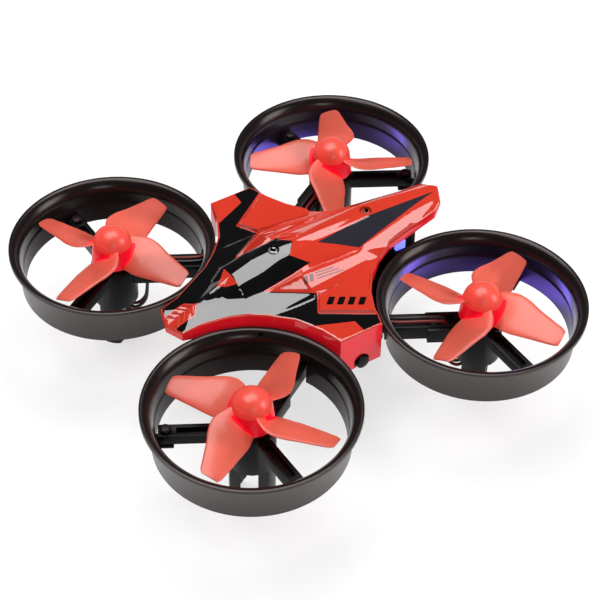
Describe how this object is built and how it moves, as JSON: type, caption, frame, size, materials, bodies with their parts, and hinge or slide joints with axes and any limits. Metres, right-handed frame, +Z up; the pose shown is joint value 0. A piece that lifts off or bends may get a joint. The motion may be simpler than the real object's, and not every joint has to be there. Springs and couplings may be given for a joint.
{
  "type": "mini ducted drone",
  "caption": "Palm-sized ducted-rotor drone with a wedge-shaped canopy, spoked motor mounts on landing legs, free-spinning propellers and a sliding power switch.",
  "frame": {"origin": "on the ground plane under the middle of the drone, where the motor legs stand", "axes": "+Z up along the rotor axes, nose towards -X, left side towards -Y"},
  "size_m": [0.082, 0.082, 0.028],
  "materials": {
    "canopy_red": "glossy painted and printed shell",
    "canopy_black": "glossy black graphics",
    "canopy_grey": "glossy grey graphics",
    "duct_charcoal": "satin moulded plastic",
    "frame_black": "satin moulded plastic",
    "rotor_coral": "translucent glossy plastic",
    "motor_steel": "drawn can",
    "steel": "plated",
    "wire_red": "wire sleeve",
    "wire_black": "wire sleeve",
    "wire_grey": "wire sleeve",
    "foam": "closed-cell foam",
    "battery_foil": "laminated foil pouch",
    "board_green": "solder mask",
    "chip_black": "moulded epoxy",
    "connector_white": "nylon",
    "lamp_blue": "clear lens, blue",
    "lamp_white": "clear lens"
  },
  "bodies": {
    "airframe": {"canopy": "canopy_red", "chassis_tray": "frame_black", "battery_cover": "frame_black", "duct_front_left": "duct_charcoal", "motor_mount_front_left": "frame_black", "motor_front_left": "motor_steel", "duct_rear_left": "duct_charcoal", "motor_mount_rear_left": "frame_black", "motor_rear_left": "motor_steel", "duct_front_right": "duct_charcoal", "motor_mount_front_right": "frame_black", "motor_front_right": "motor_steel", "duct_rear_right": "duct_charcoal", "motor_mount_rear_right": "frame_black", "motor_rear_right": "motor_steel", "wire_live_front_left": "wire_red", "wire_return_front_left": "wire_black", "wire_live_rear_left": "wire_red", "wire_return_rear_left": "wire_black", "wire_live_front_right": "wire_red", "wire_return_front_right": "wire_black", "wire_live_rear_right": "wire_red", "wire_return_rear_right": "wire_black", "battery_pad": "foam", "battery_cell": "battery_foil", "circuit_board": "board_green", "flight_chip": "chip_black", "radio_chip": "chip_black", "motion_sensor": "chip_black", "aerial_wire": "wire_grey", "battery_plug": "connector_white", "battery_lead_red": "wire_red", "battery_lead_black": "wire_black", "switch_body": "steel", "charging_socket": "connector_white", "tail_lamp_left": "lamp_blue", "front_lamp_left": "lamp_white", "tail_lamp_right": "lamp_blue", "front_lamp_right": "lamp_white", "canopy_screw_front": "steel", "canopy_screw_rear": "steel", "arm_screw_front_left": "steel", "arm_screw_rear_left": "steel", "arm_screw_front_right": "steel", "arm_screw_rear_right": "steel", "cover_screw": "steel"},
    "rotor_front_left": {"propeller_front_left": "rotor_coral", "shaft_front_left": "steel"},
    "rotor_rear_left": {"propeller_rear_left": "rotor_coral", "shaft_rear_left": "steel"},
    "rotor_front_right": {"propeller_front_right": "rotor_coral", "shaft_front_right": "steel"},
    "rotor_rear_right": {"propeller_rear_right": "rotor_coral", "shaft_rear_right": "steel"},
    "power_switch": {"switch_knob": "chip_black"}
  },
  "joints": [
    {"name": "spin_front_left", "type": "hinge", "parent": "airframe", "child": "rotor_front_left", "pos_m": [-0.023, -0.023, 0.02], "axis": [0, 0, 1], "continuous": true},
    {"name": "spin_rear_left", "type": "hinge", "parent": "airframe", "child": "rotor_rear_left", "pos_m": [0.023, -0.023, 0.02], "axis": [0, 0, 1], "continuous": true},
    {"name": "spin_front_right", "type": "hinge", "parent": "airframe", "child": "rotor_front_right", "pos_m": [-0.023, 0.023, 0.02], "axis": [0, 0, 1], "continuous": true},
    {"name": "spin_rear_right", "type": "hinge", "parent": "airframe", "child": "rotor_rear_right", "pos_m": [0.023, 0.023, 0.02], "axis": [0, 0, 1], "continuous": true},
    {"name": "power_slide", "type": "slide", "parent": "airframe", "child": "power_switch", "axis": [0, 1, 0], "range_m": [0, 0.0018]}
  ]
}
